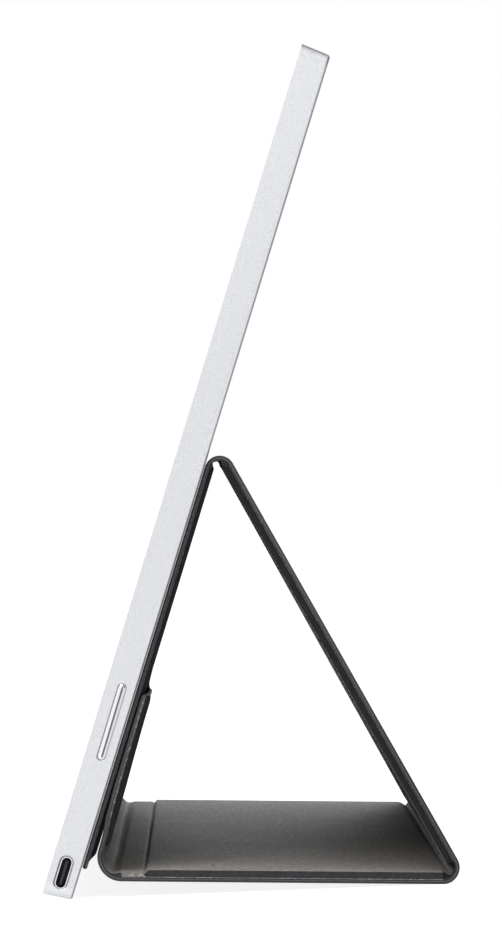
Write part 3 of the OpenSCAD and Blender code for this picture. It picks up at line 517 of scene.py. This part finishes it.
# Shapes of the cover's skins
cover = {
    "corner": 1.8,  # outer corners of the whole cover
    "boardCorner": 1.5,  # leather over a board's corner
    "shoulder": 0.9,  # width of the round shoulder on a board's edge
    "sideSlope": 0.4,  # beside a board, and towards a free end
    "lipSlope": 2.4,
    "rimRound": 0.14,  # edge of the sheets at the sides, and at a free end
    "lipRound": 0.45,
    "roundShare": (0.7, 0.6),  # how much of the liner and of the leather that round may take
    "backing": 0.2,  # lighter line on the cut side
    "shadedSideBand": (0.9, 1.0),  # leather drawn tight and painted darker as shade, in and out from a board's outline
    "wave": 0.05,  # slow unevenness of the leather over a board
    "wavePitch": 34.0,
    "waveFade": 8.0,
    "waveStep": 7.3,  # keeps the waves of the panels apart
}
panelGrid = {"length": 9.0, "width": 11.0, "fine": 0.4, "edgeReach": 4.4, "sideReach": 6.4}
freeEnds = {"mount": "start", "flap": "end"}
# The flap gets thinner towards its free edge and lies flat there, but for its near corner, which stands off.
# Its long margins have no board in them and sink onto the mount panel's.
flapShape = {
    "farTip": 0.15,  # shares of the full thickness at the free edge
    "nearTip": 0.6,
    "farFull": 0.6,  # shares of the length over which it gets that thin
    "nearFull": 1.0,
    "cornerPower": 14,  # how near to the corner its own shape stays
    "lift": 0.3,
    "settle": 0.2,
    "sink": 1.25,
    "margin": (0.6, 1.6),  # from the board's side, where the margin starts to sink and how far it takes
    "hold": 0.3,  # share of the length in which the front fold still holds the margin up
    "tip": (0.94, 0.06),  # share of the length where the corner starts to curl, and the rest
    "curl": 0.4,
    "curlReach": 6.0,
}
# How far the raised part reaches past each board's ends
raisedEnds = {"mount": (1.2, 2.1), "strut": (2.5, 2.2), "floor": (2.4, 1.35), "flap": (0.0, 0.0)}
# At the far end the mount panel sits higher, and the strut's top is pressed thinner by a share
askew = {"slide": 0.8, "press": 0.32}
lipReach = 0.9  # the mount panel's free lower lip, past its solid
mount = lines["mount"]
mount["start"] -= mount["along"] * lipReach * mm
for length in ("length", "boardStart", "boardEnd"):
    mount[length] += lipReach * mm
# Loose leather between the floor board and the front fold
looseStrip = {"rise": 1.1, "start": 1.2, "end": 4.5, "side": 0.7}
for name, reach in raisedEnds.items():
    lines[name]["boardStart"] -= reach[0] * mm
    lines[name]["boardEnd"] += reach[1] * mm


# The mount panel isn't set quite square, which its fold takes up
def shift(name, share, x):
    far = (halfWidth - x) / (2 * halfWidth)
    slide = lines["mount"]["along"] * askew["slide"] * mm
    if name == "mount":
        return slide * far
    if name == "top":
        return slide * far * (1 - share)
    if name == "flap":
        f, corner = flapShape, max(0, 1 - far) ** flapShape["cornerPower"]
        tip = smooth((share - f["tip"][0]) / f["tip"][1])
        margin = smooth((abs(x) - boardHalf - f["margin"][0] * mm) / (f["margin"][1] * mm))
        margin *= smooth(share / f["hold"]) * (1 - tip)
        curl = f["curl"] * tip * smooth((x - halfWidth + f["curlReach"] * mm) / (f["curlReach"] * mm))
        off = (f["lift"] * corner - f["settle"] * (1 - corner)) * share * (1 - margin) - f["sink"] * margin + curl
        return lines["flap"]["inward"] * off * mm
    return Vector((0, 0))


# How much of its thickness a panel or fold keeps at a spot
def thinned(name, share, x):
    far = (halfWidth - x) / (2 * halfWidth)
    if name in ("top", "strut"):
        return 1 - askew["press"] * far * (share if name == "top" else 1 - share)
    if name != "flap":
        return 1
    f = flapShape
    corner = (max(0, x + halfWidth) / (2 * halfWidth)) ** f["cornerPower"]
    tip, full = (f["far" + k] + (f["near" + k] - f["far" + k]) * corner for k in ("Tip", "Full"))
    return 1 - (1 - tip) * smooth(share / full)


# Moves points near a free end inwards, so that the cover's outer corners are round
def roundCorner(p, s, x, freeEnd):
    r = cover["corner"] * mm
    beyond = abs(x) - (halfWidth - r)
    if not freeEnd or beyond <= 0:
        return s
    cutBack = r - math.sqrt(max(0, r * r - beyond * beyond))
    fromEnd = s if freeEnd == "start" else p["length"] - s
    if fromEnd >= r:
        return s
    moved = cutBack + fromEnd * (r - cutBack) / r
    return moved if freeEnd == "start" else p["length"] - moved


def freeDistance(p, s, freeEnd):
    if freeEnd == "start":
        return s
    if freeEnd == "end":
        return p["length"] - s
    return 1.0


# Height of the leather over the board, from the board's outline and the slope beside it
def boardRise(name, p, s, x):
    r = cover["boardCorner"] * mm
    over = p["skin"] - p["liner"]
    half = (p["boardEnd"] - p["boardStart"]) / 2 + over
    middle = (p["boardEnd"] + p["boardStart"]) / 2
    dx = abs(x) - (boardHalf + over - r)
    ds = abs(s - middle) - (half - r)
    outside = math.hypot(max(dx, 0), max(ds, 0)) + min(max(dx, ds), 0) - r
    lip = freeEnds.get(name) == ("start" if s < middle else "end")
    endSlope = cover["lipSlope"] if lip else cover["sideSlope"]
    weight = max(dx, 0) / (max(dx, 0) + max(ds, 0)) if max(dx, ds) > 0 else (1 if dx > ds else 0)
    slope = (cover["sideSlope"] * weight + endSlope * (1 - weight)) * mm
    shoulder = cover["shoulder"] * mm
    return p["board"] * (1 - smooth((outside + shoulder) / (slope + shoulder)))


# The leather is a little too long for the inside of the front fold and stands off its liner beside it
def looseRise(name, p, s):
    if name != "floor":
        return 0
    start, end = looseStrip["start"] * mm, looseStrip["end"] * mm
    up = smooth((s - p["boardEnd"]) / start)
    return looseStrip["rise"] * mm * up * (1 - smooth((s - p["length"]) / end))


def fromSide(x, width):
    return smooth((halfWidth - abs(x)) / (width * mm))


def rise(name, p, s, x):
    return max(boardRise(name, p, s, x), looseRise(name, p, s) * fromSide(x, looseStrip["side"]))


# The leather is drawn tight on the long slopes beside a board, and these slopes get the darker copy of the leather as
# painted shade
def onSlope(name, p, s, x):
    past = abs(x) - boardHalf - p["skin"] + p["liner"]
    within, beyond = (reach * mm for reach in cover["shadedSideBand"])
    return -within < past < beyond and boardRise(name, p, s, 0) > 0.1 * p["board"]


def addPanel(name, body):
    p = lines[name]
    freeEnd = freeEnds.get(name)
    edgeSpots = [p["boardStart"], p["boardEnd"]]
    if freeEnd:
        edgeSpots.append(0 if freeEnd == "start" else p["length"])
    g = {key: size * mm for key, size in panelGrid.items()}
    rows = steps(0, p["length"], g["length"], g["fine"], edgeSpots, g["edgeReach"])
    columns = steps(-halfWidth, halfWidth, g["width"], g["fine"], [-halfWidth, halfWidth], g["sideReach"])
    rim, lip = cover["rimRound"] * mm, cover["lipRound"] * mm

    def place(s, x, n):
        share = s / p["length"]
        q = linePoint(p, roundCorner(p, s, x, freeEnd), n * thinned(name, share, x)) + shift(name, share, x)
        return Vector((x, q.x, q.y))

    def drop(s, x):
        return max(edgeDrop(halfWidth - abs(x), rim), edgeDrop(freeDistance(p, s, freeEnd), lip))

    linerRound, leatherRound = cover["roundShare"]

    def outer(s, x):
        return min(drop(s, x), p["liner"] * linerRound)

    def wave(s, x):
        fade = smooth(min(s, p["length"] - s) / (cover["waveFade"] * mm)) * fromSide(x, cover["waveFade"])
        k = perMetre(cover["wavePitch"])
        spot = Vector((x * k, s * k, panelNames.index(name) * cover["waveStep"]))
        return cover["wave"] * mm * fade * noise.noise(spot)

    def top(s, x):
        rounded = min(drop(s, x), leatherRound * (p["skin"] - p["liner"]))
        return p["skin"] - rounded + rise(name, p, s, x) + wave(s, x)

    def under(s, x):
        return max(p["liner"], top(s, x) - (p["skin"] - p["liner"]))

    def backing(s, x):
        return p["liner"] + cover["backing"] * mm

    liner = closedSheet(name + "Liner", rows, columns, place, [outer, lambda s, x: p["liner"]],
                        [finishes["liner"]], [0], lambda s, x: 0)
    materials = [edgeFinishes["backing"], edgeFinishes["cut"], finishes["leather"], edgeFinishes["stretchedShaded"]]
    # slot 3, on the slopes beside the board, is the leather painted darker as shade
    leather = closedSheet(name + "Leather", rows, columns, place, [under, backing, top], materials,
                          [0, 1], lambda s, x: 3 if onSlope(name, p, s, x) else 2)
    for piece, kind in ((liner, "liner"), (leather, "leather")):
        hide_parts(name + "_" + kind)
        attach(piece, body)


panelBodies = {"mount": "monitor", "strut": "strut", "floor": "floor_panel", "flap": "flap"}
for name in panelNames:
    addPanel(name, panelBodies[name])


# What lies inside a panel is cut into small parts and follows its skins
insideGrid = {"rows": 18, "width": 12.0, "fine": 2.5, "sideReach": 30.0, "snap": 1e-4}
insides = [("mount", "board"), ("mount", "magnets"), ("strut", "board"), ("flap", "board"), ("flap", "plates")]
slots = {entry["node"]: entry["material_slot"] for entry in frame["record"]["subparts"]}


def followPanel(name, kind):
    g = insideGrid
    p = lines[name]
    node = name + "_" + kind
    mesh = bmesh.new()
    mesh.from_mesh(frame["nodes"][node].data)
    along, start = (Vector((0, *p[k])) for k in ("along", "start"))
    across = Vector((1, 0, 0))
    columns = steps(-halfWidth, halfWidth, g["width"] * mm, g["fine"] * mm, [halfWidth], g["sideReach"] * mm)
    rows = steps(0, p["length"], p["length"] / g["rows"], mm, [], 0)
    for way, spot in [(across, across * x) for x in columns] + [(along, start + along * s) for s in rows]:
        parts = mesh.verts[:] + mesh.edges[:] + mesh.faces[:]
        bmesh.ops.bisect_plane(mesh, geom=parts, plane_co=spot, plane_no=way, dist=g["snap"] * mm)
    data = bpy.data.meshes.new(name + kind.capitalize())
    mesh.to_mesh(data)
    mesh.free()
    data.materials.append(finishes[slots[node]])
    for v in data.vertices:
        flat = Vector((v.co.y, v.co.z)) - p["start"]
        s, n = flat.dot(p["along"]), flat.dot(p["inward"])
        share = s / p["length"]
        q = linePoint(p, s, n * thinned(name, share, v.co.x)) + shift(name, share, v.co.x)
        v.co.y, v.co.z = q
    piece = bpy.data.objects.new(name + kind.capitalize(), data)
    bpy.context.scene.collection.objects.link(piece)
    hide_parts(node)
    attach(piece, panelBodies[name])


for name, kind in insides:
    followPanel(name, kind)
print("panels made")


# Folds: the number and height of the gathers on the inside of each, and how far in from its
# ends, past the board's outline, its leather is drawn tight and painted darker as shade
folds = {
    "top": {"panels": ("mount", "strut"), "gathers": 3, "height": 0.12, "shadedSideBand": 0.9},
    "rear": {"panels": ("strut", "floor"), "gathers": 4, "height": 0.16, "shadedSideBand": 2.5},
    "front": {"panels": ("floor", "flap"), "gathers": 3, "height": 0.12, "shadedSideBand": 0.9},
}
foldGrid = {"rows": 44, "width": 6.0, "fine": 0.4, "sideReach": 1.2}
gatherLook = {
    "driftWidth": 45.0,  # along the fold, in which a gather wanders
    "driftTurn": 1.5,
    "drift": 2.2,
    "depthWidth": 20.0,  # along the fold, in which its depth changes
    "depthTurn": 3,
    "depth": (0.6, 0.8),  # mean and change
    "fade": 0.7,
    "seeds": (3.1, 5),
}
steepest = 1.35  # radians up to which a board's leather runs on into a fold


def addFold(name, f):
    first, second = f["panels"]
    arc = foldArc(lines[first], lines[second])
    g = foldGrid
    rows = [arc["turn"] * k / g["rows"] for k in range(g["rows"] + 1)]
    columns = steps(-halfWidth, halfWidth, g["width"] * mm, g["fine"] * mm, [-halfWidth, halfWidth],
                    g["sideReach"] * mm)
    rim = cover["rimRound"] * mm
    look = gatherLook
    seed, secondSeed = len(name) * look["seeds"][0], len(name) * look["seeds"][0] + look["seeds"][1]

    def place(angle, x, n):
        share = angle / arc["turn"]
        q = arcPoint(arc, angle, n * thinned(name, share, x)) + shift(name, share, x)
        return Vector((x, q.x, q.y))

    def outer(angle, x):
        return edgeDrop(halfWidth - abs(x), rim)

    def gather(angle, x):
        share = angle / arc["turn"]
        drift = noise.noise(Vector((x * perMetre(look["driftWidth"]), share * look["driftTurn"], seed)))
        wave = math.sin(2 * math.pi * f["gathers"] * share + look["drift"] * drift)
        change = noise.noise(Vector((x * perMetre(look["depthWidth"]), share * look["depthTurn"], secondSeed)))
        depth = look["depth"][0] + look["depth"][1] * change
        return f["height"] * mm * math.sin(math.pi * share) ** look["fade"] * wave * depth

    # A board runs straight on into the fold, so its leather stands higher and higher off the arc
    def straightOn(name, angle, x):
        p = lines[name]
        deep = arc["radius"] - p["skin"] - p["board"]
        ahead = deep * math.tan(min(angle, steepest))
        s = p["length"] + ahead if name == first else -ahead
        share = boardRise(name, p, s, x) / p["board"]
        return share * max(0, arc["radius"] - arc["skin"] - deep / math.cos(min(angle, steepest)))

    def raised(angle, x):
        p, travel = lines[first], angle * arc["radius"]
        loose = looseRise(first, p, p["length"] + travel) * fromSide(x, looseStrip["side"])
        return max(straightOn(first, angle, x), straightOn(second, arc["turn"] - angle, x), loose)

    def topSlot(angle, x):
        outline = boardHalf + arc["skin"] - arc["liner"]
        # slot 4, near the fold's ends, is the leather painted darker as shade
        return 4 if abs(x) > outline - f["shadedSideBand"] * mm else 3

    def top(angle, x):
        return arc["skin"] - edgeDrop(halfWidth - abs(x), rim) + gather(angle, x) + raised(angle, x)

    levels = [outer, lambda a, x: arc["liner"], lambda a, x: arc["liner"] + cover["backing"] * mm, top]
    materials = [finishes["liner"], edgeFinishes["backing"], edgeFinishes["cut"], finishes["leather"],
                 edgeFinishes["stretchedShaded"]]
    piece = closedSheet(name + "Fold", rows, columns, place, levels, materials, [0, 1, 2], topSlot)
    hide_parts(name + "_fold_strip")
    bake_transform(piece)


for name, fold in folds.items():
    addFold(name, fold)
print("folds made")


# Key: a facet in a painted highlight with a line in painted shade beside it runs along the crown.
# Its section goes from the screen's side to the back, with heights from the top of the crown.
keyFacet = {
    "length": 20.4,
    "taper": 1.0,
    # bright: the face in painted highlight; dark: the face in painted shade
    "bright": [(-0.92, -0.05), (-0.12, 0.04)],
    "dark": [(-0.12, 0.04), (0.4, -0.02)],
    "root": -0.4,
    "rimDepth": 0.6,  # points of the key this near to its face give its outline
    "endSteps": (0.3, 0.65),  # shares of the taper where it has a section
    "endWidth": 0.02,  # width and drop of the last section
    "endDrop": 0.12,
}


def addKeyFacet(k):
    key = frame["nodes"]["rocker_key"].data.vertices
    face = max(v.co.x for v in key)
    rim = [Vector((v.co.y, v.co.z)) for v in key if v.co.x > face - k["rimDepth"] * mm]
    long = max((b - a for a in rim for b in rim), key=lambda chord: chord.length).normalized()
    across = Vector((long.y, -long.x)) if long.y > 0 else Vector((-long.y, long.x))
    middle = (long * sum(span(rim, long)) + across * sum(span(rim, across))) / 2
    section = k["bright"] + k["dark"][1:] + [(k["dark"][-1][0], k["root"]), (k["bright"][0][0], k["root"])]
    waist = k["bright"][-1][0]
    half, taper = k["length"] / 2, k["taper"]
    spots = [-half] + [-half + taper * share for share in k["endSteps"]] + [-half + taper]
    mesh = bmesh.new()
    rings = []
    for spot in spots + [-s for s in reversed(spots)]:
        near = min(1, (half - abs(spot)) / taper)
        wide = math.sqrt(near * (2 - near)) * (1 - k["endWidth"]) + k["endWidth"]
        ring = []
        for u, h in section:
            q = middle + (long * spot + across * (waist + (u - waist) * wide)) * mm
            ring.append(mesh.verts.new((face + (h - (1 - wide) * k["endDrop"]) * mm, q.x, q.y)))
        rings.append(ring)
    count = len(section)
    for a, b in zip(rings, rings[1:]):
        for i in range(count):
            j = (i + 1) % count
            side = mesh.faces.new((a[i], a[j], b[j], b[i]))
            # the face from the crown's top down towards the back gets the painted shade, the others the painted
            # highlight
            side.material_index = 1 if i == 1 else 0
    for ring in (rings[0], rings[-1]):
        mesh.faces.new(ring)
    bmesh.ops.recalc_face_normals(mesh, faces=mesh.faces)
    data = bpy.data.meshes.new("keyFacet")
    mesh.to_mesh(data)
    mesh.free()
    for finish in paintedLightFacetFinishes:
        data.materials.append(finish)
    piece = bpy.data.objects.new("keyFacet", data)
    bpy.context.scene.collection.objects.link(piece)
    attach(piece, "key")


addKeyFacet(keyFacet)
print("key dressed")


# Studio: white floor and sky, a large soft lamp above, one beside the camera and two behind the object
studio = {
    "floorHalf": 30.0,  # metres
    "floorTone": "#8C8C8C",
    "floorGlow": 0.87,  # what the lit floor lacks to white, for what looks at it
    "sky": (1.0, 0.6),  # light of the world from behind the object and from the camera's side
    "skyTurn": (-0.6, 0.8),  # directions along X between which one goes over to the other
    "mirror": (0.45, 0.66),  # what gloss and metal see of the world behind the object and on the camera's side
    "lamps": [
        {"name": "topLamp", "place": (0.5, -0.2, 0.95), "aim": (0.1, 0, 0.1), "size": 0.8, "power": 10.0},
        {"name": "sideLamp", "place": (0.5, -0.12, 0.38), "aim": (0.18, 0, 0.2), "size": 0.2, "power": 1.0},
        {"name": "lowLamp", "place": (-1.0, 0.05, 0.25), "aim": (0, 0, 0), "size": 0.3, "power": 0.75},
        {"name": "backLamp", "place": (-1.2, 0.4, 1.1), "aim": (0, 0, 0.1), "size": 1.2, "power": 3.0},
    ],
}


# Camera, mirror and see-through rays see the white itself
def seenByEye(tree):
    path = addNode(tree, "LightPath")
    first = addNode(tree, "Math", settings={"operation": "MAXIMUM"},
                    links={0: path.outputs["Is Camera Ray"], 1: path.outputs["Is Glossy Ray"]})
    both = addNode(tree, "Math", settings={"operation": "MAXIMUM"},
                   links={0: first.outputs["Value"], 1: path.outputs["Is Transmission Ray"]})
    return both.outputs["Value"]


def addFloor(s):
    half = s["floorHalf"]
    data = bpy.data.meshes.new("floor")
    data.from_pydata([(-half, -half, 0), (half, -half, 0), (half, half, 0), (-half, half, 0)], [], [(0, 1, 2, 3)])
    floor = bpy.data.objects.new("floor", data)
    bpy.context.scene.collection.objects.link(floor)
    values = {"Base Color": colour(s["floorTone"]), "Roughness": 0.9}
    material, tree, shader, place = newMaterial("whitePaper", values)
    shader.inputs["Emission Color"].default_value = (1, 1, 1, 1)
    glow = addNode(tree, "Math", settings={"operation": "MULTIPLY"}, values={1: s["floorGlow"]},
                   links={0: seenByEye(tree)})
    tree.links.new(glow.outputs["Value"], shader.inputs["Emission Strength"])
    data.materials.append(material)


def addSky(s):
    world = bpy.data.worlds.new("sky")
    bpy.context.scene.world = world
    world.use_nodes = True
    tree = world.node_tree
    background = tree.nodes["Background"]
    background.inputs["Color"].default_value = (1, 1, 1, 1)
    way = addNode(tree, "TexCoord").outputs["Generated"]
    alongView = addNode(tree, "SeparateXYZ", links={"Vector": way}).outputs["X"]
    path = addNode(tree, "LightPath")
    ends = {"From Min": s["skyTurn"][0], "From Max": s["skyTurn"][1], "To Min": s["sky"][0], "To Max": s["sky"][1]}
    sky = addNode(tree, "MapRange", values=ends, links={"Value": alongView})
    mirror = addNode(tree, "MapRange", values={"From Min": -1.0, "To Min": s["mirror"][0], "To Max": s["mirror"][1]},
                     links={"Value": alongView})
    glossy = addNode(tree, "Mix", settings={"data_type": "FLOAT"},
                     links={0: path.outputs["Is Glossy Ray"], 2: sky.outputs["Result"], 3: mirror.outputs["Result"]})
    direct = addNode(tree, "Math", settings={"operation": "MAXIMUM"},
                     links={0: path.outputs["Is Camera Ray"], 1: path.outputs["Is Transmission Ray"]})
    strength = addNode(tree, "MapRange", values={"To Max": 1.0},
                       links={"Value": direct.outputs["Value"], "To Min": glossy.outputs[0]})
    tree.links.new(strength.outputs["Result"], background.inputs["Strength"])


def addLamp(lamp):
    data = bpy.data.lights.new(lamp["name"], "AREA")
    data.size = lamp["size"]
    data.energy = lamp["power"]
    thing = bpy.data.objects.new(lamp["name"], data)
    bpy.context.scene.collection.objects.link(thing)
    aim = Vector(lamp["aim"]) - Vector(lamp["place"])
    thing.location = lamp["place"]
    thing.rotation_euler = aim.to_track_quat("-Z", "Y").to_euler()
    thing.visible_camera = False


addFloor(studio)
addSky(studio)
for lamp in studio["lamps"]:
    addLamp(lamp)
print("studio lit")
